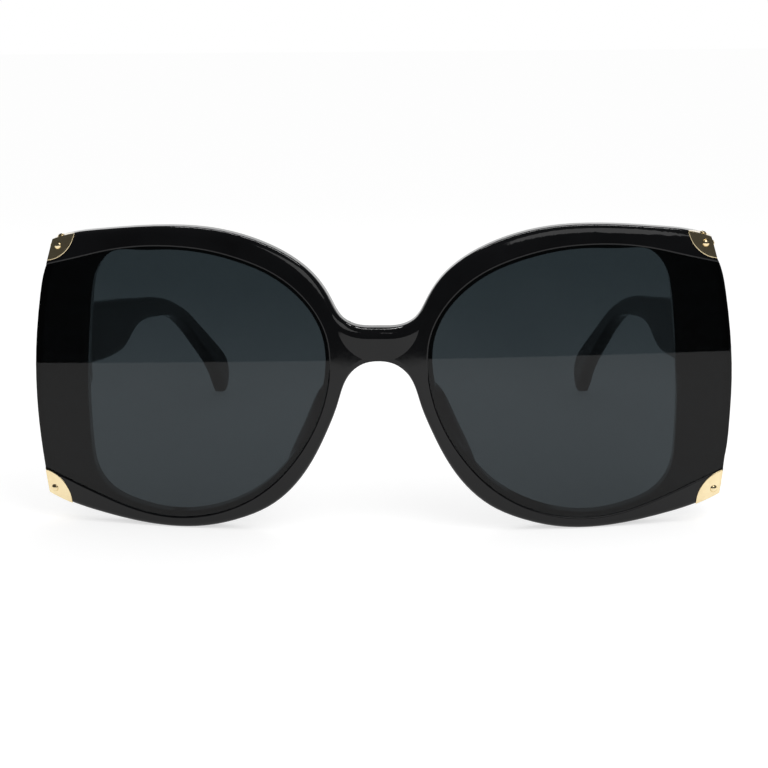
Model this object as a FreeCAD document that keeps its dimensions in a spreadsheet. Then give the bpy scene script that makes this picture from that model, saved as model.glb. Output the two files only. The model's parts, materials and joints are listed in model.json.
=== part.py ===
import FreeCAD, Part
import math
import os
import Sketcher
from FreeCAD import Placement, Rotation, Vector

doc = FreeCAD.newDocument("sunglasses")

# Driving dimensions in millimetres and degrees
DIMENSIONS = {
    "front_width": 148.4,
    "front_height": 64.3,
    "front_thickness": 5.2,
    "front_curve_radius": 250,
    "curve_centre_height": 32,
    "overall_depth": 144,
    "tool_margin": 2,
    "tool_depth": 40,
    "surface_match": 0.02,
    "brow_round": 1.9,
    "chin_round": 1.0,
    "back_round": 0.8,
    "bridge_face_radius": 50,
    "bridge_face_level": 42.8,
    "bridge_face_rise": 0.3,
    "bridge_face_reach": 9,
    "bridge_face_depth": 2.6,
    "bridge_face_inset": 0.08,
    "seat_round": 0.3,
    "lens_recess": 0.35,
    "lens_thickness": 2.0,
    "plate_thickness": 0.5,
    "plate_arc_radius": 7.7,
    "upper_plate_offset": 4.1,
    "lower_plate_offset": 3.65,
    "plate_bevel": 0.2,
    "plate_arc_forward": 3.0,
    "rivet_head_radius": 0.8,
    "rivet_head_height": 0.45,
    "rivet_shank_radius": 0.4,
    "rivet_shank_length": 1.2,
    "rivet_hole_gap": 0.02,
    "rivet_inset": 1.8,
    "rivet_leg": 1.6,
    "rivet_depth": 2.1,
    "boss_reach": 17,
    "boss_inner": 62.4,
    "boss_outer": 73.3,
    "boss_height": 17.0,
    "boss_round": 1.1,
    "boss_bite": 1.0,
    "hinge_across": 67.5,
    "hinge_level": 37.5,
    "hinge_height": 8,
    "knuckle_radius": 1.3,
    "knuckle_count": 5,
    "knuckle_gap": 0.06,
    "axis_offset": 1.45,
    "leaf_thickness": 0.9,
    "leaf_relief": 1.5,
    "front_leaf_width": 3.4,
    "temple_leaf_length": 10.5,
    "leaf_rivet_spread": 2.4,
    "leaf_rivet_first": 4.2,
    "leaf_rivet_second": 8.2,
    "leaf_rivet_shank": 2.9,
    "screw_radius": 0.6,
    "screw_fit": 0.03,
    "screw_head_radius": 1.15,
    "screw_head_height": 0.6,
    "screw_tip": 0.25,
    "screw_slot_width": 0.3,
    "screw_slot_depth": 0.3,
    "temple_gap": 0.1,
    "temple_height": 45.8,
    "temple_thickness": 4.2,
    "temple_round": 1.1,
    "temple_splay": 7.8,
    "temple_bend_start": 85,
    "temple_bend_radius": 250,
    "core_radius": 0.7,
    "core_gap": 0.02,
    "pad_length": 4.2,
    "pad_width": 1.5,
    "pad_splay": 27,
    "pad_setback": 8.2,
    "pad_offset": 3.0,
}

sheet = doc.addObject("Spreadsheet::Sheet", "Dimensions")
for row, (name, value) in enumerate(DIMENSIONS.items(), start=1):
    sheet.set("A%d" % row, name)
    sheet.set("B%d" % row, str(value))
    sheet.setAlias("B%d" % row, name)
doc.recompute()


def size(name):
    return float(sheet.get(name))


# Derived positions: the bridge face is the foremost point, the floor is at zero height
half_width = size("front_width") / 2
front_y = size("bridge_face_rise") - size("overall_depth") / 2
boss_y = front_y + size("boss_reach")
temple_y = boss_y + size("temple_gap")
temple_length = size("overall_depth") / 2 - temple_y
hinge = Vector(size("hinge_across"), boss_y + size("axis_offset"), size("hinge_level"))
curve_centre = Vector(0, front_y + size("front_curve_radius"), size("curve_centre_height"))

# Half outlines of the front as shares of half its width and of its height
brow_shares = [
    (0.0000, 0.6820), (0.0566, 0.6851), (0.0984, 0.7076), (0.1334, 0.7714), (0.1786, 0.8460),
    (0.2372, 0.9012), (0.3100, 0.9448), (0.4043, 0.9798), (0.4987, 0.9969), (0.5863, 1.0000),
    (0.6873, 0.9946), (0.7817, 0.9844), (0.8639, 0.9720), (0.9272, 0.9510),
]
side_shares = [
    (0.9272, 0.9510), (0.9461, 0.8771), (0.9683, 0.7698), (0.9838, 0.6376),
    (0.9926, 0.4821), (0.9899, 0.3266), (0.9811, 0.2022), (0.9704, 0.0949),
]
chin_shares = [
    (0.9704, 0.0949), (0.8976, 0.0599), (0.8086, 0.0334), (0.7008, 0.0101), (0.5930, 0.0000),
    (0.4987, 0.0078), (0.4043, 0.0362), (0.3100, 0.0879), (0.2291, 0.1757), (0.1752, 0.2737),
    (0.1429, 0.3530), (0.1159, 0.4331), (0.0930, 0.5101), (0.0701, 0.5459), (0.0404, 0.5684),
    (0.0000, 0.5764),
]

# Lens seat, open at the outer edge, and the clear aperture behind it
seat_shares = [
    (1.0377, 0.8406), (0.9481, 0.8663), (0.8585, 0.8911), (0.7682, 0.9168), (0.6739, 0.9331),
    (0.5836, 0.9362), (0.4852, 0.9269), (0.3841, 0.8989), (0.3032, 0.8616), (0.2318, 0.8056),
    (0.1765, 0.7325), (0.1456, 0.6563), (0.1368, 0.5754), (0.1429, 0.4930), (0.1792, 0.3608),
    (0.2358, 0.2504), (0.3073, 0.1586), (0.3908, 0.0925), (0.4852, 0.0513), (0.5930, 0.0365),
    (0.6873, 0.0505), (0.7817, 0.0855), (0.8760, 0.1306), (0.9704, 0.1765), (1.0377, 0.2100),
]
aperture_shares = [
    (0.7682, 0.9012), (0.8005, 0.8507), (0.8187, 0.7434), (0.8302, 0.5910), (0.8369, 0.4355),
    (0.8342, 0.2799), (0.8208, 0.1788), (0.7817, 0.1151), (0.7075, 0.0731), (0.5930, 0.0505),
    (0.4892, 0.0653), (0.3976, 0.1050), (0.3167, 0.1680), (0.2466, 0.2582), (0.1914, 0.3670),
    (0.1550, 0.4977), (0.1482, 0.5754), (0.1570, 0.6532), (0.1867, 0.7263), (0.2412, 0.7963),
    (0.3113, 0.8507), (0.3895, 0.8865), (0.4879, 0.9137), (0.5836, 0.9230), (0.6806, 0.9199),
]

# Outer edge of the wing behind the lens, which stands a little proud of the lens
wing_shares = [
    (0.9515, 0.8709), (0.9596, 0.8491), (0.9757, 0.7698), (0.9912, 0.6376),
    (1.0000, 0.4666), (0.9966, 0.3266), (0.9879, 0.2177), (0.9771, 0.1695),
]

# Side view of a temple as shares of its length and of its height, round from top to bottom
temple_shares = [
    (0.0000, 1.0000), (0.1811, 0.9389), (0.3543, 0.8810), (0.4567, 0.8362), (0.5354, 0.7904),
    (0.6063, 0.7271), (0.6929, 0.6179), (0.8110, 0.4498), (0.9213, 0.2926), (0.9764, 0.2031),
    (1.0000, 0.1288), (0.9858, 0.0480), (0.9488, 0.0044), (0.9197, 0.0033), (0.8937, 0.0437),
    (0.8504, 0.1485), (0.7953, 0.2598), (0.7480, 0.3472), (0.6614, 0.5131), (0.5748, 0.6463),
    (0.4961, 0.7118), (0.4252, 0.7402), (0.3780, 0.7336), (0.3386, 0.7074), (0.2992, 0.6681),
    (0.2598, 0.6463), (0.1969, 0.6354), (0.1024, 0.6354), (0.0000, 0.6397),
]
core_shares = [
    (0.1300, 0.8350), (0.2500, 0.8150), (0.3543, 0.8050), (0.4567, 0.7830), (0.5354, 0.7380),
    (0.6063, 0.6660), (0.6929, 0.5370), (0.8110, 0.3410), (0.8800, 0.2250),
]

# Nose pad sections: height and edge position as shares of the front, then length and width shares
pad_shares = [
    (0.1900, 0.2210, 0.30, 0.45), (0.2300, 0.1990, 0.74, 0.86), (0.2900, 0.1700, 0.96, 1.00),
    (0.3600, 0.1410, 1.00, 1.00), (0.4300, 0.1180, 0.86, 0.92), (0.4800, 0.1020, 0.42, 0.50),
]


def front_point(share, depth=None):
    start = front_y - size("tool_margin")
    return Vector(share[0] * half_width, start if depth is None else depth, share[1] * size("front_height"))


def mirrored(points):
    return [Vector(-p.x, p.y, p.z) for p in points]


def spline(points, closed=False):
    curve = Part.BSplineCurve()
    curve.interpolate(Points=points, PeriodicFlag=closed)
    return curve.toShape()


def both_halves(shares):
    right = [front_point(s) for s in shares]
    inner_first = right if shares[0][0] == 0 else list(reversed(right))
    return spline(list(reversed(mirrored(inner_first)))[:-1] + inner_first)


def shape_feature(name, shape):
    feature = doc.addObject("Part::Feature", name)
    feature.Shape = shape
    return feature


def prism(name, wire, direction, length):
    outline = shape_feature(name + "_outline", Part.Face(Part.Wire(wire)))
    solid = doc.addObject("Part::Extrusion", name)
    solid.Base = outline
    solid.DirMode = "Custom"
    solid.Dir = direction
    solid.Solid = True
    solid.setExpression("LengthFwd", length)
    return solid


def ball(name, radius):
    sphere = doc.addObject("Part::Sphere", name)
    sphere.setExpression("Radius", radius)
    return sphere


def curve_ball(name, radius):
    sphere = ball(name, radius)
    sphere.setExpression(
        "Placement.Base.y",
        "Dimensions.front_curve_radius + Dimensions.bridge_face_rise - Dimensions.overall_depth / 2")
    sphere.setExpression("Placement.Base.z", "Dimensions.curve_centre_height")
    return sphere


def common(name, *shapes):
    feature = doc.addObject("Part::MultiCommon", name)
    feature.Shapes = list(shapes)
    return feature


def fuse(name, *shapes):
    feature = doc.addObject("Part::MultiFuse", name)
    feature.Shapes = list(shapes)
    return feature


def cut(name, base, tool):
    feature = doc.addObject("Part::Cut", name)
    feature.Base = base
    feature.Tool = tool
    return feature


def mirror(name, source):
    feature = doc.addObject("Part::Mirroring", name)
    feature.Source = source
    feature.Normal = Vector(1, 0, 0)
    return feature


def compound(name, parts):
    feature = doc.addObject("Part::Compound", name)
    feature.Links = parts
    return feature


def rounded(name, base, radii):
    feature = doc.addObject("Part::Fillet", name)
    feature.Base = base
    feature.Edges = radii
    return feature


def middle(edge):
    return edge.valueAt((edge.FirstParameter + edge.LastParameter) / 2)


def on_curve(point, depth):
    below = size("front_curve_radius") - (point - curve_centre).Length
    return abs(below - depth) < size("surface_match")


# Front blank: the outline between two concentric balls that share the base curve
bridge_level = (brow_shares[0][1] + chin_shares[-1][1]) / 2 * size("front_height")
brow_edge = both_halves(brow_shares)
chin_edge = both_halves(chin_shares)
side_points = [front_point(s) for s in side_shares]
side_edge = spline(side_points)
far_side_edge = spline(mirrored(side_points))
outline_edges = Part.__sortEdges__([brow_edge, side_edge, chin_edge, far_side_edge])
front_prism = prism("front_prism", outline_edges, Vector(0, 1, 0), "Dimensions.tool_depth")
front_ball = curve_ball("front_ball", "Dimensions.front_curve_radius")
back_ball = curve_ball("back_ball", "Dimensions.front_curve_radius - Dimensions.front_thickness")
lens_ball = curve_ball("lens_ball", "Dimensions.front_curve_radius - Dimensions.lens_recess")
seat_ball = curve_ball(
    "seat_ball", "Dimensions.front_curve_radius - Dimensions.lens_recess - Dimensions.lens_thickness")
front_bulk = common("front_bulk", front_prism, front_ball)
sharp_blank = cut("sharp_blank", front_bulk, back_ball)
doc.recompute()

# Long edges rounded: a wide round along the brow, smaller ones elsewhere
edge_radii = []
for number, edge in enumerate(sharp_blank.Shape.Edges, start=1):
    point = middle(edge)
    span = edge.BoundBox
    full_width = span.XLength > half_width
    if on_curve(point, 0) and full_width:
        radius = size("brow_round") if point.z > bridge_level else size("chin_round")
        edge_radii.append((number, radius, radius))
    if on_curve(point, size("front_thickness")) and full_width:
        edge_radii.append((number, size("back_round"), size("back_round")))
round_blank = rounded("round_blank", sharp_blank, edge_radii)

# Bridge face: an upright swelling between the rims, a little proud of the curve
bridge_ball = ball("bridge_ball", "Dimensions.bridge_face_radius")
bridge_ball.setExpression(
    "Placement.Base.y", "Dimensions.bridge_face_radius - Dimensions.overall_depth / 2")
bridge_ball.setExpression("Placement.Base.z", "Dimensions.bridge_face_level")
bridge_box = doc.addObject("Part::Box", "bridge_box")
bridge_box.setExpression("Length", "2 * Dimensions.bridge_face_reach")
bridge_box.setExpression("Width", "Dimensions.tool_margin + Dimensions.bridge_face_depth")
bridge_box.setExpression("Height", "Dimensions.front_height")
bridge_box.setExpression("Placement.Base.x", "-Dimensions.bridge_face_reach")
bridge_box.setExpression("Placement.Base.y", "-Dimensions.overall_depth / 2 - Dimensions.tool_margin")
bridge_inset = Vector(0, 0, size("bridge_face_inset"))
bridge_top = brow_edge.translated(bridge_inset * -1)
bridge_foot = chin_edge.translated(bridge_inset)
bridge_edges = [bridge_top, bridge_foot]
for end in ("FirstParameter", "LastParameter"):
    corners = [edge.valueAt(getattr(edge, end)) for edge in (bridge_top, bridge_foot)]
    bridge_edges.append(Part.makeLine(*corners))
bridge_wire = Part.__sortEdges__(bridge_edges)
bridge_prism = prism("bridge_prism", bridge_wire, Vector(0, 1, 0), "Dimensions.tool_depth")
bridge_bulk = common("bridge_bulk", bridge_prism, bridge_ball, bridge_box)
doc.recompute()
bridge_radii = []
for number, edge in enumerate(bridge_bulk.Shape.Edges, start=1):
    point = middle(edge)
    if edge.BoundBox.XLength > size("bridge_face_reach") and point.y < front_y:
        radius = size("brow_round") if point.z > bridge_level else size("chin_round")
        bridge_radii.append((number, radius, radius))
bridge_face = rounded("bridge_face", bridge_bulk, bridge_radii)

# Lens seats and lenses
seat_points = [front_point(s) for s in seat_shares]
seat_curve = spline(seat_points)
seat_edges = [seat_curve, Part.makeLine(seat_points[-1], seat_points[0])]
seat_prism = prism("seat_prism", seat_edges, Vector(0, 1, 0), "Dimensions.tool_depth")
seat_pocket = cut("seat_pocket", seat_prism, seat_ball)
seat_pockets = fuse("seat_pockets", seat_pocket, mirror("far_seat_pocket", seat_pocket))
seated_blank = cut("seated_blank", round_blank, seat_pockets)
doc.recompute()
seat_radii = []
for number, edge in enumerate(seated_blank.Shape.Edges, start=1):
    point = middle(edge)
    shadow = Part.Vertex(abs(point.x), seat_points[0].y, point.z)
    if on_curve(point, 0) and seat_curve.distToShape(shadow)[0] < size("surface_match"):
        seat_radii.append((number, size("seat_round"), size("seat_round")))
soft_seats = rounded("soft_seats", seated_blank, seat_radii)
aperture_points = [front_point(s) for s in aperture_shares]
aperture = prism("aperture", [spline(aperture_points, True)], Vector(0, 1, 0), "Dimensions.tool_depth")
lens_bulk = common("lens_bulk", seat_prism, front_prism, lens_ball)
lens_left = cut("lens_left", lens_bulk, seat_ball)

# Wing edge behind the lens
wing_points = [front_point(s) for s in wing_shares]
wing_inner = [Vector(size("boss_inner"), p.y, p.z) for p in (wing_points[-1], wing_points[0])]
wing_edges = [
    spline(wing_points),
    Part.makeLine(wing_points[-1], wing_inner[0]),
    Part.makeLine(wing_inner[0], wing_inner[1]),
    Part.makeLine(wing_inner[1], wing_points[0]),
]
wing_prism = prism("wing_prism", wing_edges, Vector(0, 1, 0), "Dimensions.tool_depth")
wing_bulk = common("wing_bulk", wing_prism, seat_ball)
wing_solid = cut("wing_solid", wing_bulk, back_ball)
wing = common("wing", wing_solid, cut("beside_aperture", wing_prism, aperture))

# Hinge boss behind the wing, flat at the back
boss_box = doc.addObject("Part::Box", "boss_box")
boss_box.setExpression("Length", "Dimensions.boss_outer - Dimensions.boss_inner")
boss_box.setExpression("Width", "Dimensions.boss_reach")
boss_box.setExpression("Height", "Dimensions.boss_height")
boss_box.setExpression("Placement.Base.x", "Dimensions.boss_inner")
boss_box.setExpression("Placement.Base.y", "Dimensions.bridge_face_rise - Dimensions.overall_depth / 2")
boss_box.setExpression("Placement.Base.z", "Dimensions.hinge_level - Dimensions.boss_height / 2")
doc.recompute()
boss_radii = []
for number, edge in enumerate(boss_box.Shape.Edges, start=1):
    if edge.BoundBox.YLength > size("boss_round"):
        boss_radii.append((number, size("boss_round"), size("boss_round")))
boss_block = rounded("boss_block", boss_box, boss_radii)
boss_ball = curve_ball(
    "boss_ball", "Dimensions.front_curve_radius - Dimensions.front_thickness + Dimensions.boss_bite")
boss = common("boss", boss_block, boss_ball)
doc.recompute()


# Rivets: a low dome on a plain shank, seated where its axis meets a surface
def cylinder(name, radius, length, placement):
    feature = doc.addObject("Part::Cylinder", name)
    feature.setExpression("Radius", radius)
    feature.setExpression("Height", length)
    feature.Placement = placement
    return feature


def rivet(name, seat, outward, length):
    turn = Rotation(Vector(0, 0, 1), outward)
    shank_foot = seat - outward * size(length)
    shank = cylinder(
        name + "_shank", "Dimensions.rivet_shank_radius", "Dimensions." + length,
        Placement(shank_foot, turn))
    radius = size("rivet_head_radius")
    rise = size("rivet_head_height")
    dome_radius = (radius ** 2 + rise ** 2) / (2 * rise)
    dome_formula = "(Dimensions.rivet_head_radius ^ 2 + Dimensions.rivet_head_height ^ 2)"
    dome_formula += " / (2 * Dimensions.rivet_head_height)"
    head = ball(name + "_head", dome_formula)
    head.setExpression("Angle1", "asin(1 - Dimensions.rivet_head_height / (%s))" % dome_formula)
    head.Placement = Placement(seat + outward * (rise - dome_radius), turn)
    hole = cylinder(
        name + "_hole", "Dimensions.rivet_shank_radius + Dimensions.rivet_hole_gap",
        "2 * Dimensions." + length, Placement(shank_foot, turn))
    return fuse(name, shank, head), hole


def surface_hit(shape, point, outward):
    reach = outward * size("plate_arc_forward")
    crossing = shape.common(Part.makeLine(point + reach, point - reach))
    return max((v.Point for v in crossing.Vertexes), key=lambda p: p.dot(outward))


def front_depth(x, z):
    flat = (x - curve_centre.x) ** 2 + (z - curve_centre.z) ** 2
    return curve_centre.y - math.sqrt(size("front_curve_radius") ** 2 - flat)


# Corner plate let into one corner of the front, with the three rivets that hold it
def corner(name, corner_share, edge_share, side_share, offset):
    tip = front_point(corner_share, 0)
    tip.y = front_depth(tip.x, tip.z)
    legs = []
    for share in (edge_share, side_share):
        leg = front_point(share, tip.y) - tip
        legs.append(leg.normalize())
    inward = (legs[0] + legs[1]).normalize()
    normals = []
    for leg, other in ((legs[0], legs[1]), (legs[1], legs[0])):
        normal = other - leg * other.dot(leg)
        normals.append(normal.normalize() * -1)
    face_normal = (tip - curve_centre).normalize()

    zone = ball(
        name + "_zone", "sqrt(Dimensions.plate_arc_radius ^ 2 + Dimensions.plate_arc_forward ^ 2)")
    zone.Placement.Base = tip - inward * size(offset) - Vector(0, size("plate_arc_forward"), 0)

    across = normals[0].dot(normals[1])
    shift = (normals[0] + normals[1]) * (-size("plate_thickness") / (1 + across))
    shift.y = (-size("plate_thickness") - face_normal.x * shift.x - face_normal.z * shift.z) / face_normal.y
    inset = shape_feature(name + "_inset", sharp_blank.Shape.copy())
    inset.Placement = Placement(shift, Rotation())
    bulk = common(name + "_bulk", sharp_blank, zone)
    sheet_metal = cut(name + "_sheet", bulk, inset)
    seat = common(name + "_seat", bulk, inset)
    doc.recompute()
    bevels = []
    for number, edge in enumerate(sheet_metal.Shape.Edges, start=1):
        point = middle(edge)
        off_zone = abs((point - zone.Placement.Base).Length - zone.Radius.Value)
        if off_zone < size("surface_match") and on_curve(point, 0):
            bevels.append((number, size("plate_bevel"), size("plate_bevel")))
    bevelled = doc.addObject("Part::Chamfer", name + "_bevelled")
    bevelled.Base = sheet_metal
    bevelled.Edges = bevels

    face_point = tip + inward * size("rivet_inset")
    spots = [(face_point, (face_point - curve_centre).normalize())]
    for leg, normal in zip(legs, normals):
        spot = tip + leg * size("rivet_leg")
        spot.y = front_depth(spot.x, spot.z) + size("rivet_depth")
        spots.append((spot, normal))
    rivets = []
    holes = []
    for number, (spot, normal) in enumerate(spots, start=1):
        hit = surface_hit(sharp_blank.Shape, spot, normal)
        made, hole = rivet("%s_rivet_%d" % (name, number), hit, normal, "rivet_shank_length")
        rivets.append(made)
        holes.append(hole)
    return zone, bevelled, seat, rivets, holes


upper = corner("upper_corner", brow_shares[-1], brow_shares[-2], side_shares[1], "upper_plate_offset")
lower = corner("lower_corner", chin_shares[0], chin_shares[1], side_shares[-2], "lower_plate_offset")
upper_zone, upper_sheet, upper_seat, upper_rivets, upper_holes = upper
lower_zone, lower_sheet, lower_seat, lower_rivets, lower_holes = lower
corner_plate_upper_left = cut("corner_plate_upper_left", upper_sheet, fuse("upper_drill", *upper_holes))
corner_plate_lower_left = cut("corner_plate_lower_left", lower_sheet, fuse("lower_drill", *lower_holes))
corner_rivets_upper_left = compound("corner_rivets_upper_left", upper_rivets)
corner_rivets_lower_left = compound("corner_rivets_lower_left", lower_rivets)


# Sketch helpers for the hinge parts, all drawn about the hinge axis
def plane_of(body, role):
    return next(f for f in body.Origin.OriginFeatures if f.Role == role)


def new_body(name, turn):
    body = doc.addObject("PartDesign::Body", name)
    body.Placement = Placement(hinge, Rotation(Vector(0, 0, 1), turn))
    return body


def new_sketch(body, name, role):
    sketch = body.newObject("Sketcher::SketchObject", name)
    sketch.AttachmentSupport = [(plane_of(body, role), "")]
    sketch.MapMode = "FlatFace"
    return sketch


def bind(sketch, constraint, name, formula):
    index = sketch.addConstraint(constraint)
    sketch.renameConstraint(index, name)
    sketch.setExpression("Constraints." + name, formula)


def polygon(sketch, tag, corners):
    first = sketch.GeometryCount
    count = len(corners)
    reach = size("knuckle_radius")
    turns = [2 * math.pi * (number + 0.5) / count - math.pi for number in range(count)]
    starts = [Vector(reach * math.cos(a), reach * math.sin(a), 0) for a in turns]
    for number in range(count):
        sketch.addGeometry(Part.LineSegment(starts[number], starts[(number + 1) % count]))
    for number in range(count):
        follower = first + (number + 1) % count
        sketch.addConstraint(Sketcher.Constraint("Coincident", first + number, 2, follower, 1))
    for number, (across, up) in enumerate(corners):
        for kind, formula in (("DistanceX", across), ("DistanceY", up)):
            value = starts[number].x if kind == "DistanceX" else starts[number].y
            constraint = Sketcher.Constraint(kind, -1, 1, first + number, 1, value)
            bind(sketch, constraint, "%s_%s_%d" % (tag, kind, number), formula)


def rectangle(sketch, tag, left, low, right, high):
    polygon(sketch, tag, [(left, low), (right, low), (right, high), (left, high)])


def circle(sketch, tag, across, up, radius):
    reach = size("knuckle_radius")
    index = sketch.addGeometry(Part.Circle(Vector(reach, reach, 0), Vector(0, 0, 1), reach))
    bind(sketch, Sketcher.Constraint("DistanceX", -1, 1, index, 3, reach), tag + "_across", across)
    bind(sketch, Sketcher.Constraint("DistanceY", -1, 1, index, 3, reach), tag + "_up", up)
    bind(sketch, Sketcher.Constraint("Radius", index, reach), tag + "_radius", radius)


def pad(body, sketch, name, length):
    feature = body.newObject("PartDesign::Pad", name)
    feature.Profile = sketch
    feature.SideType = "Symmetric"
    feature.setExpression("Length", length)
    return feature


def pocket(body, sketch, name):
    feature = body.newObject("PartDesign::Pocket", name)
    feature.Profile = sketch
    feature.SideType = "Symmetric"
    feature.Type = "ThroughAll"
    return feature


# Hinge leaf: knuckles on the axis and a flat plate, notched where the other leaf's knuckles run
def hinge_leaf(name, turn, plate, notched, drill_role, drills):
    body = new_body(name, turn)
    barrel = new_sketch(body, name + "_barrel_sketch", "XY_Plane")
    circle(barrel, "barrel", "0", "0", "Dimensions.knuckle_radius")
    pad(body, barrel, name + "_barrel", "Dimensions.hinge_height")
    leaf = new_sketch(body, name + "_plate_sketch", "XY_Plane")
    rectangle(leaf, "plate", *plate)
    pad(body, leaf, name + "_plate", "Dimensions.hinge_height")
    notch = new_sketch(body, name + "_notch_sketch", drill_role)
    pitch = "Dimensions.hinge_height / Dimensions.knuckle_count"
    half = "Dimensions.hinge_height / 2"
    for level in notched:
        low = "%d * %s - %s - Dimensions.knuckle_gap / 2" % (level, pitch, half)
        high = "%d * %s - %s + Dimensions.knuckle_gap / 2" % (level + 1, pitch, half)
        low = low if level else "-Dimensions.hinge_height"
        high = high if level + 1 < size("knuckle_count") else "Dimensions.hinge_height"
        rectangle(
            notch, "notch_%d" % level, "-Dimensions.leaf_relief", low, "Dimensions.leaf_relief", high)
    pocket(body, notch, name + "_notches")
    bore = new_sketch(body, name + "_bore_sketch", "XY_Plane")
    circle(bore, "bore", "0", "0", "Dimensions.screw_radius + Dimensions.screw_fit")
    pocket(body, bore, name + "_bore")
    drill = new_sketch(body, name + "_drill_sketch", drill_role)
    for number, (across, up) in enumerate(drills):
        circle(
            drill, "drill_%d" % number, across, up,
            "Dimensions.rivet_shank_radius + Dimensions.rivet_hole_gap")
    pocket(body, drill, name + "_drills")
    return body


front_leaf_middle = "-Dimensions.leaf_relief - Dimensions.front_leaf_width / 2"
hinge_front_leaf_left = hinge_leaf(
    "hinge_front_leaf_left", 0,
    ("-Dimensions.leaf_relief - Dimensions.front_leaf_width", "-Dimensions.axis_offset",
     "0", "Dimensions.leaf_thickness - Dimensions.axis_offset"),
    (1, 3), "XZ_Plane",
    ((front_leaf_middle, "Dimensions.leaf_rivet_spread"),
     (front_leaf_middle, "-Dimensions.leaf_rivet_spread")))
hinge_temple_leaf_left = hinge_leaf(
    "hinge_temple_leaf_left", size("temple_splay"),
    ("Dimensions.axis_offset - Dimensions.leaf_thickness", "0",
     "Dimensions.axis_offset", "Dimensions.temple_leaf_length"),
    (0, 2, 4), "YZ_Plane",
    (("Dimensions.leaf_rivet_first", "0"), ("Dimensions.leaf_rivet_second", "0")))

# Hinge screw: plain shank, flat head on top with a straight slot
hinge_screw_left = new_body("hinge_screw_left", 0)
screw_sketch = new_sketch(hinge_screw_left, "screw_sketch", "XZ_Plane")
screw_foot = "-Dimensions.hinge_height / 2 - Dimensions.screw_tip"
screw_neck = "Dimensions.hinge_height / 2"
screw_top = screw_neck + " + Dimensions.screw_head_height"
polygon(screw_sketch, "screw", [
    ("0", screw_foot), ("Dimensions.screw_radius", screw_foot), ("Dimensions.screw_radius", screw_neck),
    ("Dimensions.screw_head_radius", screw_neck), ("Dimensions.screw_head_radius", screw_top),
    ("0", screw_top)])
screw_turning = hinge_screw_left.newObject("PartDesign::Revolution", "screw_turning")
screw_turning.Profile = screw_sketch
screw_turning.ReferenceAxis = (screw_sketch, ["V_Axis"])
slot_sketch = new_sketch(hinge_screw_left, "slot_sketch", "XZ_Plane")
rectangle(
    slot_sketch, "slot", "-Dimensions.screw_slot_width / 2", screw_top + " - Dimensions.screw_slot_depth",
    "Dimensions.screw_slot_width / 2", screw_top + " + Dimensions.screw_slot_depth")
pocket(hinge_screw_left, slot_sketch, "screw_slot")

# Rivets that hold the two hinge leaves
leaf_face = size("leaf_thickness") - size("axis_offset")
front_rivets = []
front_holes = []
for number, side in enumerate((1, -1), start=1):
    seat = hinge + Vector(
        -size("leaf_relief") - size("front_leaf_width") / 2, leaf_face, side * size("leaf_rivet_spread"))
    made, hole = rivet("front_leaf_rivet_%d" % number, seat, Vector(0, 1, 0), "leaf_rivet_shank")
    front_rivets.append(made)
    front_holes.append(hole)
front_leaf_rivets_left = compound("front_leaf_rivets_left", front_rivets)

splay = Rotation(Vector(0, 0, 1), size("temple_splay"))
temple_rivets = []
temple_holes = []
for number, along in enumerate(("leaf_rivet_first", "leaf_rivet_second"), start=1):
    seat = hinge + splay.multVec(Vector(-leaf_face, size(along), 0))
    inward = splay.multVec(Vector(-1, 0, 0))
    made, hole = rivet("temple_leaf_rivet_%d" % number, seat, inward, "leaf_rivet_shank")
    temple_rivets.append(made)
    temple_holes.append(hole)
temple_leaf_rivets_left = compound("temple_leaf_rivets_left", temple_rivets)

# Nose pad: ellipses lofted up the nasal edge, seated on the back of the rim
pad_sections = []
for number, (height, edge, long_share, wide_share) in enumerate(pad_shares, start=1):
    section = doc.addObject("Part::Ellipse", "pad_section_%d" % number)
    section.setExpression("MajorRadius", "Dimensions.pad_length * %s" % long_share)
    section.setExpression("MinorRadius", "Dimensions.pad_width * %s" % wide_share)
    centre = front_point((edge, height), front_y + size("pad_setback"))
    centre.x += size("pad_offset")
    upright = Rotation(Vector(0, 0, 1), math.degrees(math.pi / 2) - size("pad_splay"))
    section.Placement = Placement(centre, upright)
    pad_sections.append(section)
pad_loft = doc.addObject("Part::Loft", "pad_loft")
pad_loft.Sections = pad_sections
pad_loft.Solid = True
nose_pad_left = cut("nose_pad_left", pad_loft, round_blank)

# Front frame: seats and apertures cut, wings, bosses and corner seats added, rivet holes drilled
side_cutter = fuse("side_cutter", aperture, upper_zone, lower_zone)
side_addition = fuse("side_addition", wing, boss, upper_seat, lower_seat)
side_drill = fuse("side_drill", *(upper_holes + lower_holes + front_holes))
far_cutter = mirror("far_cutter", side_cutter)
far_addition = mirror("far_addition", side_addition)
far_drill = mirror("far_drill", side_drill)
frame_open = cut("frame_open", cut("frame_half_open", soft_seats, side_cutter), far_cutter)
frame_bulk = fuse("frame_bulk", frame_open, side_addition, far_addition)
frame_drilled = cut("frame_drilled", cut("frame_half_drilled", frame_bulk, side_drill), far_drill)
front_frame = fuse("front_frame", frame_drilled, bridge_face)


# Temple: side view and plan view in common, long edges rounded, core channel bored
def temple_plan(along, outward):
    start = size("temple_bend_start")
    radius = size("temple_bend_radius")
    offset = size("axis_offset") + outward
    if along <= start:
        local = Vector(offset, along, 0)
    else:
        turn = (along - start) / radius
        reach = radius + outward
        across = size("axis_offset") - radius + reach * math.cos(turn)
        local = Vector(across, start + reach * math.sin(turn), 0)
    return hinge + splay.multVec(local)


def at_height(point, height):
    return Vector(point.x, point.y, height)


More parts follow.
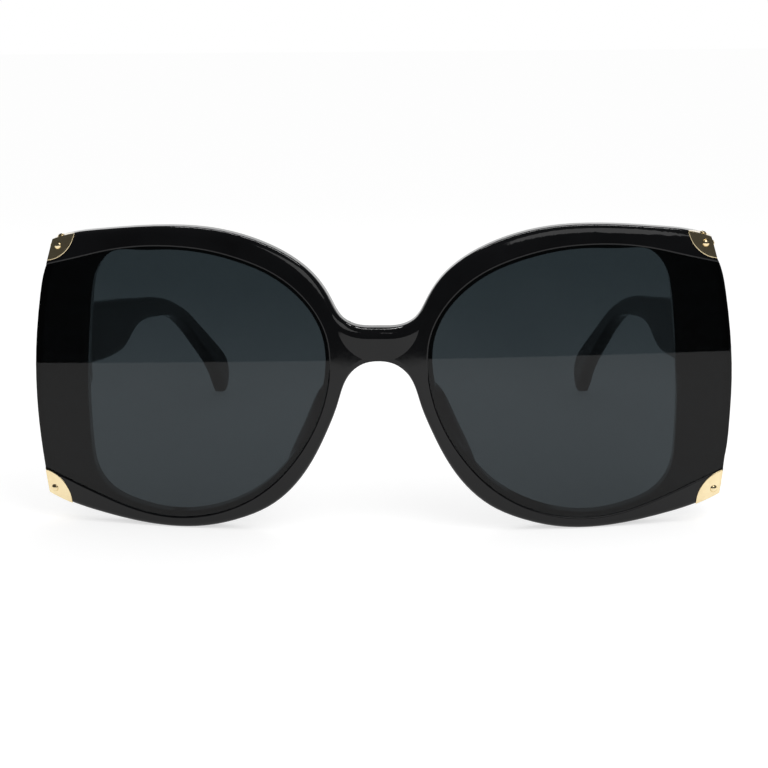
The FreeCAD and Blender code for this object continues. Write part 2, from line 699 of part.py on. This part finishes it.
plan_start = -size("axis_offset") * 2
plan_bend = size("temple_bend_start")
plan_end = temple_length + size("temple_thickness")
plan_half = (plan_bend + plan_end) / 2
plan_stations = (plan_start, plan_bend, plan_half, plan_end)
plan_edges = []
plan_ends = []
for outward in (0, size("temple_thickness")):
    floor = -size("tool_margin")
    stations = [at_height(temple_plan(s, outward), floor) for s in plan_stations]
    plan_edges.append(Part.makeLine(stations[0], stations[1]))
    plan_edges.append(Part.Arc(stations[1], stations[2], stations[3]).toShape())
    plan_ends.append((stations[0], stations[3]))
plan_edges.append(Part.makeLine(plan_ends[0][0], plan_ends[1][0]))
plan_edges.append(Part.makeLine(plan_ends[0][1], plan_ends[1][1]))
plan_prism = prism("plan_prism", Part.__sortEdges__(plan_edges), Vector(0, 0, 1), "Dimensions.front_height")

profile_points = [
    Vector(0, temple_y + along * temple_length, up * size("temple_height")) for along, up in temple_shares]
profile_edges = [spline(profile_points), Part.makeLine(profile_points[-1], profile_points[0])]
profile_prism = prism("profile_prism", profile_edges, Vector(1, 0, 0), "Dimensions.front_width")
temple_bulk = common("temple_bulk", plan_prism, profile_prism)
doc.recompute()
temple_radii = []
for number, edge in enumerate(temple_bulk.Shape.Edges, start=1):
    span = edge.BoundBox
    at_butt = span.YMax < temple_y + size("tool_margin")
    upright_seam = span.XLength + span.YLength < size("surface_match")
    if not at_butt and not upright_seam:
        temple_radii.append((number, size("temple_round"), size("temple_round")))
temple_body = rounded("temple_body", temple_bulk, temple_radii)

core_points = []
for along, up in core_shares:
    station = (temple_y + along * temple_length - hinge.y) / math.cos(math.radians(size("temple_splay")))
    inside = temple_plan(station, size("temple_thickness") / 2)
    core_points.append(at_height(inside, up * size("temple_height")))
core_path = shape_feature("core_path", Part.Wire([spline(core_points)]))


def swept_wire(name, radius):
    start = core_points[0]
    heading = core_path.Shape.Edges[0].tangentAt(core_path.Shape.Edges[0].FirstParameter)
    section = doc.addObject("Part::Circle", name + "_section")
    section.setExpression("Radius", radius)
    section.Placement = Placement(start, Rotation(Vector(0, 0, 1), heading))
    sweep = doc.addObject("Part::Sweep", name)
    sweep.Sections = [section]
    sweep.Spine = (core_path, ["Edge1"])
    sweep.Solid = True
    return sweep


temple_core_left = swept_wire("temple_core_left", "Dimensions.core_radius")
core_channel = swept_wire("core_channel", "Dimensions.core_radius + Dimensions.core_gap")
temple_tools = fuse("temple_tools", core_channel, *temple_holes)
temple_left = cut("temple_left", temple_body, temple_tools)
doc.recompute()

# Every left-hand piece has a mirrored right-hand one
left_pieces = [
    lens_left, corner_plate_upper_left, corner_plate_lower_left, corner_rivets_upper_left,
    corner_rivets_lower_left, nose_pad_left, hinge_front_leaf_left, hinge_temple_leaf_left,
    hinge_screw_left, front_leaf_rivets_left, temple_leaf_rivets_left, temple_left, temple_core_left,
]
right_pieces = [mirror(piece.Name.replace("_left", "_right"), piece) for piece in left_pieces]
doc.recompute()

# Every object must have come out sound before the pieces are written
for item in doc.Objects:
    if "Invalid" in item.State or "Error" in item.State:
        raise RuntimeError("object not built: " + item.Name)
os.makedirs("parts", exist_ok=True)
for piece in [front_frame] + left_pieces + right_pieces:
    if piece.Shape.isNull() or not piece.Shape.isValid():
        raise RuntimeError("shape not sound: " + piece.Name)
    piece.Shape.exportStep("parts/%s.step" % piece.Label)
    span = piece.Shape.BoundBox
    print("%-28s solids %d volume %9.3f  x %.2f %.2f  y %.2f %.2f  z %.2f %.2f" % (
        piece.Label, len(piece.Shape.Solids), piece.Shape.Volume,
        span.XMin, span.XMax, span.YMin, span.YMax, span.ZMin, span.ZMax))
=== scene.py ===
import json
import math

import bpy
import numpy
from mathutils import Matrix, Vector


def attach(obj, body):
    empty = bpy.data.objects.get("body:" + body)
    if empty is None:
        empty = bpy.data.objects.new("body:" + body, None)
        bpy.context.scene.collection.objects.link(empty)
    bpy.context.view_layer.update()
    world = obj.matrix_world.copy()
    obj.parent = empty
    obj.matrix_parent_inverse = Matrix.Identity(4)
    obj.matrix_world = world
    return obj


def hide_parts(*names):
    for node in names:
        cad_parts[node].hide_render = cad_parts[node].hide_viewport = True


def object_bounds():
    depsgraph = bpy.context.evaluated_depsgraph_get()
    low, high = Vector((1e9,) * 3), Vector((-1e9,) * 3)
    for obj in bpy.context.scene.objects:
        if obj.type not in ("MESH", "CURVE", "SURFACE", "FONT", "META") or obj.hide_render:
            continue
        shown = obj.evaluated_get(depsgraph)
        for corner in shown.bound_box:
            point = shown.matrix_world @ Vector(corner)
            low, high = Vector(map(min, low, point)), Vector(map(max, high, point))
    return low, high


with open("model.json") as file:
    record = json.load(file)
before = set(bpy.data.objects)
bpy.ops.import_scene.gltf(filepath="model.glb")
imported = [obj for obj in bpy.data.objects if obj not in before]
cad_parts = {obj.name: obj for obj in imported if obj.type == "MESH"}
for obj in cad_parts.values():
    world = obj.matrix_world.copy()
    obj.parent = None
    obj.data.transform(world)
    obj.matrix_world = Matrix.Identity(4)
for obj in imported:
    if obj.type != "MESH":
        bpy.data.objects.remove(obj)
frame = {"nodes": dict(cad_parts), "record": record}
cad_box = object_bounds()
nodes = frame["nodes"]
joints = frame["record"]["behaviour"]["joints"]

MM = 0.001
MICRON = 0.000001
WHITE = (1.0, 1.0, 1.0, 1.0)

# Camera: where the photograph was taken from, in the row frame
CAMERA_PLACE = Vector((16.70, -448.88, 112.04)) * MM
CAMERA_PITCH = math.radians(11.914)
CAMERA_PAN = math.radians(-2.367)
CAMERA_ROLL = math.radians(-0.533)
FOCAL_PIXELS = 1875.0
IMAGE_PIXELS = 768
SENSOR = 36.0
CLIP_NEAR = 10.0 * MM
CLIP_FAR = 50.0

# Stage: a white table with a dark room round it, which only reflections see
TABLE_WIDTH = 6.0
TABLE_COLOUR = (0.55, 0.55, 0.55, 1.0)
TABLE_GLOW = 0.62
ROOM_CENTRE = Vector((30.0, -4.0, 0.0)) * MM
ROOM_RADIUS = 313.0 * MM
ROOM_HEIGHT = 620.0 * MM
ROOM_TURNS = 96
ROOM_BACK_START = 60.0 * MM
ROOM_BACK_GAP = 160.0 * MM
ROOM_COLOUR = (0.060, 0.062, 0.065, 1.0)
AMBIENT = 0.66

# Lamps: where each stands, where it points, its size, and how bright its face looks
SOFTBOX_PLACE = Vector((130.0, -230.0, 250.0)) * MM
SOFTBOX_AIM = Vector((40.0, -65.0, 60.0)) * MM
SOFTBOX_WIDTH = 220.0 * MM
SOFTBOX_DEPTH = 250.0 * MM
SOFTBOX_BRIGHTNESS = 1.8
STRIP_PLACE = Vector((30.0, 200.0, 330.0)) * MM
STRIP_AIM = Vector((0.0, -60.0, 50.0)) * MM
STRIP_WIDTH = 300.0 * MM
STRIP_DEPTH = 30.0 * MM
STRIP_BRIGHTNESS = 8.0

# Noise: the range that most values lie in, and how fine the marks get
NOISE_LOW = 0.3
NOISE_HIGH = 0.7
PLAIN_DETAIL = 2.0
FINE_DETAIL = 3.0
FINEST_DETAIL = 4.0
EVEN = (1.0, 1.0, 1.0)

# Finish groups: which nodes share a finish, where a later group takes over from an earlier one
ACETATE_NODES = ("front_frame", "temple", "nose_pad")
LENS_NODES = ("lens",)
GOLD_NODES = ("corner_plate", "corner_rivets")
HINGE_NODES = (
    "hinge_front_leaf", "hinge_temple_leaf", "hinge_screw",
    "front_leaf_rivets", "temple_leaf_rivets",
)
CORE_NODES = ("temple_core",)
SHARP_ANGLE = math.radians(24.0)


# Material helpers

EDGE_SAMPLES = 8


def new_material(name):
    material = bpy.data.materials.new(name)
    material.use_nodes = True
    tree = material.node_tree
    shader = tree.nodes["Principled BSDF"]
    place = tree.nodes.new("ShaderNodeTexCoord").outputs["Object"]
    return material, tree, shader, place


def noise(tree, place, grain, detail=PLAIN_DETAIL, stretch=EVEN):
    """Cloudy values from 0 to 1, with marks a grain wide that are longer where stretch is small."""
    mapping = tree.nodes.new("ShaderNodeMapping")
    mapping.inputs["Scale"].default_value = stretch
    tree.links.new(place, mapping.inputs["Vector"])
    texture = tree.nodes.new("ShaderNodeTexNoise")
    texture.inputs["Scale"].default_value = 1.0 / grain
    texture.inputs["Detail"].default_value = detail
    tree.links.new(mapping.outputs["Vector"], texture.inputs["Vector"])
    return texture.outputs["Fac"]


def spread(tree, value, low, high):
    """The middle of a noise value, spread from low to high."""
    ranged = tree.nodes.new("ShaderNodeMapRange")
    ranged.inputs["From Min"].default_value = NOISE_LOW
    ranged.inputs["From Max"].default_value = NOISE_HIGH
    ranged.inputs["To Min"].default_value = low
    ranged.inputs["To Max"].default_value = high
    tree.links.new(value, ranged.inputs["Value"])
    return ranged.outputs["Result"]


def tint(tree, value, dark, light):
    """The middle of a noise value, as colours from dark to light."""
    ramp = tree.nodes.new("ShaderNodeValToRGB")
    ramp.color_ramp.elements[0].position = NOISE_LOW
    ramp.color_ramp.elements[1].position = NOISE_HIGH
    ramp.color_ramp.elements[0].color = (*dark, 1.0)
    ramp.color_ramp.elements[1].color = (*light, 1.0)
    tree.links.new(value, ramp.inputs["Fac"])
    return ramp.outputs["Color"]


def relief(tree, shader, height, depth, edge_round=0.0):
    """Fine relief of the given depth, and edges that shine as if they were rounded."""
    bump = tree.nodes.new("ShaderNodeBump")
    bump.inputs["Strength"].default_value = 1.0
    bump.inputs["Distance"].default_value = depth
    tree.links.new(height, bump.inputs["Height"])
    if edge_round:
        soft_edge = tree.nodes.new("ShaderNodeBevel")
        soft_edge.samples = EDGE_SAMPLES
        soft_edge.inputs["Radius"].default_value = edge_round
        tree.links.new(soft_edge.outputs["Normal"], bump.inputs["Normal"])
    tree.links.new(bump.outputs["Normal"], shader.inputs["Normal"])


# Black acetate: polished, slightly cloudy and rippled

ACETATE_COLOURS = ((0.0032, 0.0033, 0.0037), (0.0052, 0.0054, 0.0060))
ACETATE_CLOUD = 9.0 * MM
ACETATE_POLISH = 0.7 * MM
ACETATE_ROUGHNESS = (0.045, 0.085)
ACETATE_IOR = 1.48
ACETATE_SPECULAR = 0.32
ACETATE_RIPPLE = 2.2 * MM
ACETATE_RIPPLE_DEPTH = 1.5 * MICRON


def black_acetate():
    material, tree, shader, place = new_material("black_acetate")
    cloud = noise(tree, place, ACETATE_CLOUD)
    polish = noise(tree, place, ACETATE_POLISH, FINEST_DETAIL)
    tree.links.new(tint(tree, cloud, *ACETATE_COLOURS), shader.inputs["Base Color"])
    tree.links.new(spread(tree, polish, *ACETATE_ROUGHNESS), shader.inputs["Roughness"])
    shader.inputs["IOR"].default_value = ACETATE_IOR
    shader.inputs["Specular IOR Level"].default_value = ACETATE_SPECULAR
    relief(tree, shader, noise(tree, place, ACETATE_RIPPLE), ACETATE_RIPPLE_DEPTH)
    return material


# Tinted lens: darker at the top, clearing towards the middle, with a faint cloud

LENS_COLOURS = ((0.0185, 0.0262, 0.0300), (0.0282, 0.0366, 0.0414))
LENS_TOP = 60.0 * MM
LENS_MIDDLE = 28.0 * MM
LENS_FADE = 0.55
LENS_CLOUD = 30.0 * MM
LENS_CLOUD_SHARE = 0.35
LENS_IOR = 1.31
LENS_POLISH = 1.1 * MM
LENS_ROUGHNESS = (0.010, 0.030)


def tinted_lens():
    material, tree, shader, place = new_material("tinted_lens")
    cloud = noise(tree, place, LENS_CLOUD)
    height = tree.nodes.new("ShaderNodeSeparateXYZ")
    tree.links.new(place, height.inputs["Vector"])
    fade = tree.nodes.new("ShaderNodeMapRange")
    fade.inputs["From Min"].default_value = LENS_TOP
    fade.inputs["From Max"].default_value = LENS_MIDDLE
    fade.inputs["To Max"].default_value = LENS_FADE
    tree.links.new(height.outputs["Z"], fade.inputs["Value"])
    shade = tree.nodes.new("ShaderNodeMath")
    shade.operation = "MULTIPLY_ADD"
    tree.links.new(cloud, shade.inputs[0])
    shade.inputs[1].default_value = LENS_CLOUD_SHARE
    tree.links.new(fade.outputs["Result"], shade.inputs[2])
    tree.links.new(tint(tree, shade.outputs["Value"], *LENS_COLOURS), shader.inputs["Base Color"])
    shader.inputs["Transmission Weight"].default_value = 1.0
    shader.inputs["IOR"].default_value = LENS_IOR
    polish = noise(tree, place, LENS_POLISH, FINE_DETAIL)
    tree.links.new(spread(tree, polish, *LENS_ROUGHNESS), shader.inputs["Roughness"])
    return material


# Polished gold: faintly brushed, with edges that catch the light

GOLD_COLOURS = ((0.86, 0.70, 0.42), (0.92, 0.77, 0.48))
GOLD_CLOUD = 1.5 * MM
GOLD_POLISH = 0.12 * MM
GOLD_BRUSH = (1.0, 1.0, 0.15)
GOLD_ROUGHNESS = (0.08, 0.16)
GOLD_RIPPLE = 0.9 * MM
GOLD_RIPPLE_DEPTH = 3.0 * MICRON
GOLD_EDGE_ROUND = 0.30 * MM


def polished_gold():
    material, tree, shader, place = new_material("polished_gold")
    cloud = noise(tree, place, GOLD_CLOUD)
    tree.links.new(tint(tree, cloud, *GOLD_COLOURS), shader.inputs["Base Color"])
    shader.inputs["Metallic"].default_value = 1.0
    polish = noise(tree, place, GOLD_POLISH, FINE_DETAIL, GOLD_BRUSH)
    tree.links.new(spread(tree, polish, *GOLD_ROUGHNESS), shader.inputs["Roughness"])
    ripple = noise(tree, place, GOLD_RIPPLE)
    relief(tree, shader, ripple, GOLD_RIPPLE_DEPTH, GOLD_EDGE_ROUND)
    return material


# Hinge metal: satin, brushed upright

HINGE_COLOURS = ((0.52, 0.52, 0.53), (0.66, 0.66, 0.67))
HINGE_CLOUD = 1.2 * MM
HINGE_GRAIN = 0.10 * MM
HINGE_BRUSH = (1.0, 1.0, 0.08)
HINGE_ROUGHNESS = (0.22, 0.40)
HINGE_GRAIN_DEPTH = 2.0 * MICRON


def hinge_metal():
    material, tree, shader, place = new_material("hinge_metal")
    cloud = noise(tree, place, HINGE_CLOUD)
    tree.links.new(tint(tree, cloud, *HINGE_COLOURS), shader.inputs["Base Color"])
    shader.inputs["Metallic"].default_value = 1.0
    brushed = noise(tree, place, HINGE_GRAIN, FINE_DETAIL, HINGE_BRUSH)
    tree.links.new(spread(tree, brushed, *HINGE_ROUGHNESS), shader.inputs["Roughness"])
    relief(tree, shader, brushed, HINGE_GRAIN_DEPTH)
    return material


# Core wire: drawn lengthways

CORE_COLOURS = ((0.42, 0.42, 0.43), (0.58, 0.58, 0.60))
CORE_GRAIN = 0.15 * MM
CORE_DRAWN = (1.0, 0.05, 1.0)
CORE_ROUGHNESS = (0.25, 0.42)


def core_wire():
    material, tree, shader, place = new_material("core_wire")
    drawn = noise(tree, place, CORE_GRAIN, stretch=CORE_DRAWN)
    tree.links.new(tint(tree, drawn, *CORE_COLOURS), shader.inputs["Base Color"])
    shader.inputs["Metallic"].default_value = 1.0
    tree.links.new(spread(tree, drawn, *CORE_ROUGHNESS), shader.inputs["Roughness"])
    return material


# Finishes on the solids, with smooth shading between true edges

def finish_nodes(prefixes, material):
    for name, node in nodes.items():
        if name.startswith(prefixes):
            node.data.materials.clear()
            node.data.materials.append(material)


def smooth_nodes():
    for node in nodes.values():
        node.data.shade_smooth()
        node.data.set_sharp_from_angle(angle=SHARP_ANGLE)


# Temples: copies of the solids, reshaped to the side outline that shows through both lenses

# Cuts across a temple, in millimetres of depth and height: its lower and its upper point.
# At the hinge end they stay where the solid has them.
KEPT_CUTS = [
    [(-54.6, 29.3), (-54.6, 45.8)],
    [(-46.0, 29.2), (-46.0, 44.8)],
    [(-38.0, 29.1), (-38.0, 43.8)],
    [(-32.0, 29.1), (-32.0, 43.0)],
]
# From there to the tip, the solid's two points and the two that they move to
MOVED_CUTS = [
    [(-25.0, 29.3), (-25.0, 42.2), (-22.0, 28.2), (-22.5, 41.8)],
    [(-18.5, 30.1), (-17.0, 41.2), (-11.5, 28.0), (-11.0, 40.3)],
    [(-12.0, 32.3), (-9.7, 40.3), (-5.0, 29.7), (-3.0, 39.2)],
    [(-4.0, 33.9), (-2.0, 39.2), (1.5, 31.7), (5.0, 38.0)],
    [(5.0, 33.3), (8.0, 37.3), (11.0, 31.9), (14.0, 36.7)],
    [(13.0, 31.4), (17.0, 35.1), (20.0, 30.8), (24.0, 34.8)],
    [(20.5, 28.4), (26.0, 31.7), (29.0, 29.3), (34.0, 32.0)],
    [(30.0, 22.9), (36.0, 26.9), (38.0, 26.6), (44.0, 28.0)],
    [(40.1, 15.9), (48.1, 20.6), (46.5, 22.1), (53.0, 22.7)],
    [(48.0, 10.6), (57.0, 15.9), (54.5, 16.3), (61.0, 17.6)],
    [(54.5, 5.6), (64.5, 12.1), (61.0, 11.2), (67.0, 13.5)],
    [(58.5, 2.0), (69.5, 8.9), (65.3, 6.8), (70.7, 10.0)],
    [(61.8, 0.2), (72.0, 5.9), (67.4, 3.6), (72.0, 5.8)],
    [(65.5, 0.2), (70.2, 2.2), (69.2, 0.5), (71.3, 1.8)],
]
TEMPLE_CUTS = numpy.array([cut + cut for cut in KEPT_CUTS] + MOVED_CUTS) * MM
SOLID_LOW, SOLID_HIGH, SEEN_LOW, SEEN_HIGH = range(4)
SEARCH_STEPS = 40

# A temple seen from above: straight from the hinge, then bent inwards, and thinner behind the step
TEMPLE_SPLAY = math.radians(7.8)
TEMPLE_BEND_START = 85.0 * MM
TEMPLE_BEND_RADIUS = 250.0 * MM
TEMPLE_MIDDLE = 3.55 * MM
TEMPLE_REACH = 140.0 * MM
TEMPLE_SAMPLES = 200
THIN_START = -25.0 * MM
THIN_END = 15.0 * MM
THIN_SHARE = 0.82
RESHAPED = (("temple", "black_acetate"), ("temple_core", "core_wire"))


def add_object(name, data):
    item = bpy.data.objects.new(name, data)
    bpy.context.scene.collection.objects.link(item)
    return item


def along_cuts(column, station):
    """A smooth line through one column of the cuts, read at each station, a row number with a share."""
    points = TEMPLE_CUTS[:, column]
    last = len(points) - 1
    here = numpy.clip(station.astype(int), 0, last - 1)
    share = (station - here)[:, None]
    before, start, end, after = (points[numpy.clip(here + step, 0, last)] for step in (-1, 0, 1, 2))
    return 0.5 * (
        2 * start + (end - before) * share
        + (2 * before - 5 * start + 4 * end - after) * share ** 2
        + (3 * start - before - 3 * end + after) * share ** 3)


def find_cuts(flat):
    """For each point: the station whose cut it lies on, its share of the way up, and what is left over."""
    low = numpy.zeros(len(flat))
    high = numpy.full(len(flat), len(TEMPLE_CUTS) - 1.0)
    for _ in range(SEARCH_STEPS):
        station = (low + high) / 2
        foot = along_cuts(SOLID_LOW, station)
        rise = along_cuts(SOLID_HIGH, station) - foot
        offset = flat - foot
        beyond = rise[:, 0] * offset[:, 1] - rise[:, 1] * offset[:, 0] < 0
        low = numpy.where(beyond, station, low)
        high = numpy.where(beyond, high, station)
    share = ((offset * rise).sum(axis=1) / (rise * rise).sum(axis=1))[:, None]
    return station, share, offset - share * rise


def middle_plane(hinge):
    """Depth and sideways place of the middle of a temple's thickness, from the hinge to past its tip."""
    along = numpy.linspace(0.0, TEMPLE_REACH, TEMPLE_SAMPLES)
    turn = numpy.maximum(along - TEMPLE_BEND_START, 0.0) / TEMPLE_BEND_RADIUS
    straight = numpy.minimum(along, TEMPLE_BEND_START)
    aside = TEMPLE_MIDDLE - TEMPLE_BEND_RADIUS * (1 - numpy.cos(turn))
    ahead = straight + TEMPLE_BEND_RADIUS * numpy.sin(turn)
    across = abs(hinge[0]) + aside * math.cos(TEMPLE_SPLAY) - ahead * math.sin(TEMPLE_SPLAY)
    depth = hinge[1] + aside * math.sin(TEMPLE_SPLAY) + ahead * math.cos(TEMPLE_SPLAY)
    return depth, across


def reshaped(places, hinge):
    """Where each point of a temple's solid goes."""
    flat = places[:, 1:]
    station, share, rest = find_cuts(flat)
    foot = along_cuts(SEEN_LOW, station)
    head = along_cuts(SEEN_HIGH, station)
    moved = foot + share * (head - foot) + rest

    hand = math.copysign(1.0, hinge[0])
    depth, across = middle_plane(hinge)
    old_middle = numpy.interp(flat[:, 0], depth, across)
    new_middle = numpy.interp(moved[:, 0], depth, across)
    thin = numpy.interp(moved[:, 0], (THIN_START, THIN_END), (1.0, THIN_SHARE))
    sideways = hand * (new_middle + (hand * places[:, 0] - old_middle) * thin)
    return numpy.column_stack([sideways, moved])


def show_reshaped(node, name, joint):
    """A reshaped copy of a node, which stands for it and moves with its body."""
    mesh = node.data.copy()
    places = numpy.empty(len(mesh.vertices) * 3)
    mesh.vertices.foreach_get("co", places)
    moved = reshaped(places.reshape(-1, 3), joint["pos_m"])
    mesh.vertices.foreach_set("co", moved.ravel())
    mesh.update()
    piece = add_object(name, mesh)
    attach(piece, joint["child"])
    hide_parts(node.name)


def reshape_temples():
    for joint in joints:
        side = "left" if joint["pos_m"][0] > 0 else "right"
        for kind, slot in RESHAPED:
            node = nodes[f"{kind}_{side}"]
            show_reshaped(node, f"{node.name}_shaped", joint)


# Stage

def stage_material(name):
    """An empty node tree with its surface socket."""
    material = bpy.data.materials.new(name)
    material.use_nodes = True
    tree = material.node_tree
    tree.nodes.clear()
    surface = tree.nodes.new("ShaderNodeOutputMaterial").inputs["Surface"]
    return material, tree, surface


def strength_by_ray(tree, lighting, seen):
    """One strength for the light that falls on things, another for camera, mirror and glass rays."""
    path = tree.nodes.new("ShaderNodeLightPath")
    total = path.outputs["Is Camera Ray"]
    for name in ("Is Glossy Ray", "Is Transmission Ray"):
        either = tree.nodes.new("ShaderNodeMath")
        either.operation = "MAXIMUM"
        tree.links.new(total, either.inputs[0])
        tree.links.new(path.outputs[name], either.inputs[1])
        total = either.outputs["Value"]
    strength = tree.nodes.new("ShaderNodeMapRange")
    strength.inputs["To Min"].default_value = lighting
    strength.inputs["To Max"].default_value = seen
    tree.links.new(total, strength.inputs["Value"])
    return strength.outputs["Result"]


def table_top():
    half = TABLE_WIDTH / 2
    corners = [(-half, -half, 0.0), (half, -half, 0.0), (half, half, 0.0), (-half, half, 0.0)]
    mesh = bpy.data.meshes.new("table_top")
    mesh.from_pydata(corners, [], [(0, 1, 2, 3)])
    table = add_object("table_top", mesh)
    table.location.z = cad_box[0].z
    material, tree, surface = stage_material("white_table")
    matt = tree.nodes.new("ShaderNodeBsdfDiffuse")
    matt.inputs["Color"].default_value = TABLE_COLOUR
    glow = tree.nodes.new("ShaderNodeEmission")
    tree.links.new(strength_by_ray(tree, 0.0, TABLE_GLOW), glow.inputs["Strength"])
    both = tree.nodes.new("ShaderNodeAddShader")
    tree.links.new(matt.outputs[0], both.inputs[0])
    tree.links.new(glow.outputs[0], both.inputs[1])
    tree.links.new(both.outputs[0], surface)
    mesh.materials.append(material)


def room_mesh():
    """A round wall with a ceiling, open above the table at the back."""
    ring = []
    for i in range(ROOM_TURNS):
        angle = 2 * math.pi * i / ROOM_TURNS
        ring.append(ROOM_CENTRE + ROOM_RADIUS * Vector((math.cos(angle), math.sin(angle), 0.0)))
    head = Vector((0.0, 0.0, ROOM_HEIGHT))
    points = []
    faces = []
    for here, after in zip(ring, ring[1:] + ring[:1]):
        behind = min(here.y, after.y) > ROOM_BACK_START
        foot = Vector((0.0, 0.0, ROOM_BACK_GAP if behind else 0.0))
        first = len(points)
        points += [here + foot, after + foot, after + head, here + head]
        faces.append((first, first + 1, first + 2, first + 3))
    first = len(points)
    points += [corner + head for corner in ring]
    faces.append(tuple(range(first, len(points))))
    mesh = bpy.data.meshes.new("dark_room")
    mesh.from_pydata(points, [], faces)
    return mesh


def dark_room():
    """The dark surroundings that only reflections see."""
    mesh = room_mesh()
    room = add_object("dark_room", mesh)
    material, tree, surface = stage_material("dark_room")
    glow = tree.nodes.new("ShaderNodeEmission")
    glow.inputs["Color"].default_value = ROOM_COLOUR
    tree.links.new(glow.outputs[0], surface)
    mesh.materials.append(material)
    room.visible_camera = False
    room.visible_diffuse = False
    room.visible_transmission = False
    room.visible_shadow = False
    room.visible_volume_scatter = False


def softbox(name, place, aim, width, depth, brightness):
    """An oblong lamp whose face looks as bright as a white surface at brightness 1."""
    lamp = bpy.data.lights.new(name, "AREA")
    lamp.shape = "RECTANGLE"
    lamp.size = width
    lamp.size_y = depth
    lamp.energy = math.pi * width * depth * brightness
    box = add_object(name, lamp)
    box.location = place
    box.rotation_euler = (aim - place).to_track_quat("-Z", "Y").to_euler()
    box.visible_camera = False


def world_light():
    world = bpy.data.worlds.new("white_room")
    bpy.context.scene.world = world
    world.use_nodes = True
    tree = world.node_tree
    background = tree.nodes["Background"]
    background.inputs["Color"].default_value = WHITE
    tree.links.new(strength_by_ray(tree, AMBIENT, 1.0), background.inputs["Strength"])


def camera():
    lens = bpy.data.cameras.new("camera")
    lens.sensor_width = SENSOR
    lens.lens = FOCAL_PIXELS / IMAGE_PIXELS * SENSOR
    lens.clip_start = CLIP_NEAR
    lens.clip_end = CLIP_FAR
    eye = add_object("camera", lens)
    ahead = Vector((
        math.sin(CAMERA_PAN) * math.cos(CAMERA_PITCH),
        math.cos(CAMERA_PAN) * math.cos(CAMERA_PITCH),
        -math.sin(CAMERA_PITCH),
    ))
    level = Vector((math.cos(CAMERA_PAN), -math.sin(CAMERA_PAN), 0.0))
    above = level.cross(ahead)
    right = math.cos(CAMERA_ROLL) * level + math.sin(CAMERA_ROLL) * above
    up = -math.sin(CAMERA_ROLL) * level + math.cos(CAMERA_ROLL) * above
    turn = Matrix((right, up, -ahead)).transposed()
    eye.matrix_world = Matrix.Translation(CAMERA_PLACE) @ turn.to_4x4()
    bpy.context.scene.camera = eye


# The scene

finish_nodes(ACETATE_NODES, black_acetate())
finish_nodes(LENS_NODES, tinted_lens())
finish_nodes(GOLD_NODES, polished_gold())
finish_nodes(HINGE_NODES, hinge_metal())
finish_nodes(CORE_NODES, core_wire())
smooth_nodes()
reshape_temples()
table_top()
dark_room()
softbox(
    "softbox_front", SOFTBOX_PLACE, SOFTBOX_AIM,
    SOFTBOX_WIDTH, SOFTBOX_DEPTH, SOFTBOX_BRIGHTNESS)
softbox(
    "strip_back", STRIP_PLACE, STRIP_AIM,
    STRIP_WIDTH, STRIP_DEPTH, STRIP_BRIGHTNESS)
world_light()
camera()
bpy.context.scene.view_settings.view_transform = "Standard"
